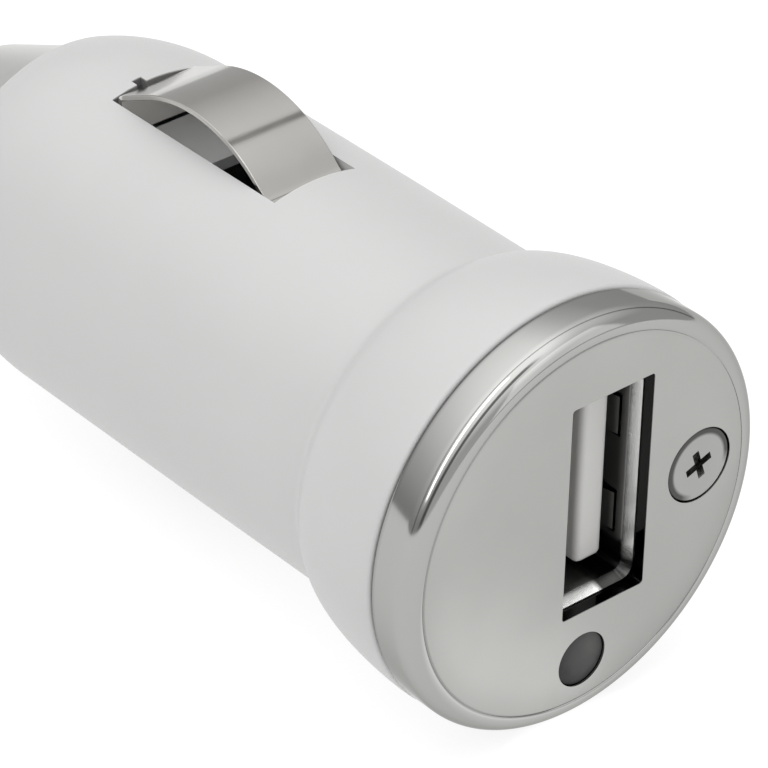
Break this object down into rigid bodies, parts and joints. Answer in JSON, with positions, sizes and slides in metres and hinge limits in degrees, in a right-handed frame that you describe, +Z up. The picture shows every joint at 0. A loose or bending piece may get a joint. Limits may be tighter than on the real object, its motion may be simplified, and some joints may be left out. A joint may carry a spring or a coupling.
{
  "type": "car usb charger plug",
  "caption": "Bullet-shaped lighter-socket plug with a flared white body, chrome face, USB-A port, indicator light, bowed side contacts and a sprung centre contact.",
  "frame": {"origin": "on the plug's axis, at the shoulder where the barrel leaves the flare", "axes": "+Y along the axis towards the nose, -Y is where the face looks, +Z up, through the upper side contact"},
  "size_m": [0.0248, 0.056, 0.0246],
  "materials": {
    "shell_white": "fine satin white moulding",
    "face_chrome": "satin chrome plating, bright rolled edge",
    "screw_chrome": "bright plated",
    "lens_dark": "smoky clear lens, unlit",
    "port_steel": "bright tinned steel",
    "insulator_white": "off-white moulding",
    "ring_satin": "satin turned light metal",
    "pin_nickel": "bright nickel",
    "spring_steel": "drawn wire",
    "terminal_brass": "bare stamped",
    "leaf_nickel": "nickel plated strip",
    "tinned_leads": "tinned",
    "strip_gold": "gold flash",
    "board_green": "solder mask",
    "chip_black": "moulded epoxy",
    "ferrite": "sintered, dark grey",
    "enamelled_copper": "enamelled wire",
    "can_sleeve": "dark sleeve over a metal can",
    "resistor_dark": "ceramic body, dark coat",
    "ceramic_tan": "ceramic",
    "wire_black": "black insulation"
  },
  "bodies": {
    "housing": {"body_shell": "shell_white", "face_plate": "face_chrome", "face_screw": "screw_chrome", "indicator_led": "lens_dark", "usb_shell": "port_steel", "usb_insulator": "insulator_white", "nose_ring": "ring_satin", "led_leg_near": "tinned_leads", "led_leg_far": "tinned_leads", "usb_contact_1": "strip_gold", "usb_contact_2": "strip_gold", "usb_contact_3": "strip_gold", "usb_contact_4": "strip_gold", "circuit_board": "board_green", "converter_chip": "chip_black", "converter_pins": "tinned_leads", "inductor_core": "ferrite", "inductor_winding": "enamelled_copper", "input_capacitor": "can_sleeve", "output_capacitor": "can_sleeve", "rectifier_diode": "chip_black", "sense_resistor": "resistor_dark", "upper_divider_resistor": "resistor_dark", "lower_divider_resistor": "resistor_dark", "bypass_capacitor": "ceramic_tan", "tip_terminal": "terminal_brass", "ground_wire_upper": "wire_black", "ground_wire_lower": "wire_black", "tip_spring": "spring_steel"},
    "upper_contact": {"side_contact_upper": "leaf_nickel"},
    "lower_contact": {"side_contact_lower": "leaf_nickel"},
    "centre_tip": {"tip_pin": "pin_nickel"}
  },
  "joints": [
    {"name": "upper_contact_slide", "type": "slide", "parent": "housing", "child": "upper_contact", "axis": [0, 0, -1], "range_m": [0, 0.0023], "stiffness_N_per_m": 2500, "springref_m": -0.0006},
    {"name": "lower_contact_slide", "type": "slide", "parent": "housing", "child": "lower_contact", "axis": [0, 0, 1], "range_m": [0, 0.0023], "stiffness_N_per_m": 2500, "springref_m": -0.0006},
    {"name": "centre_tip_slide", "type": "slide", "parent": "housing", "child": "centre_tip", "axis": [0, -1, 0], "range_m": [0, 0.0025], "stiffness_N_per_m": 1000, "springref_m": -0.002, "deforming": ["tip_spring"]}
  ]
}
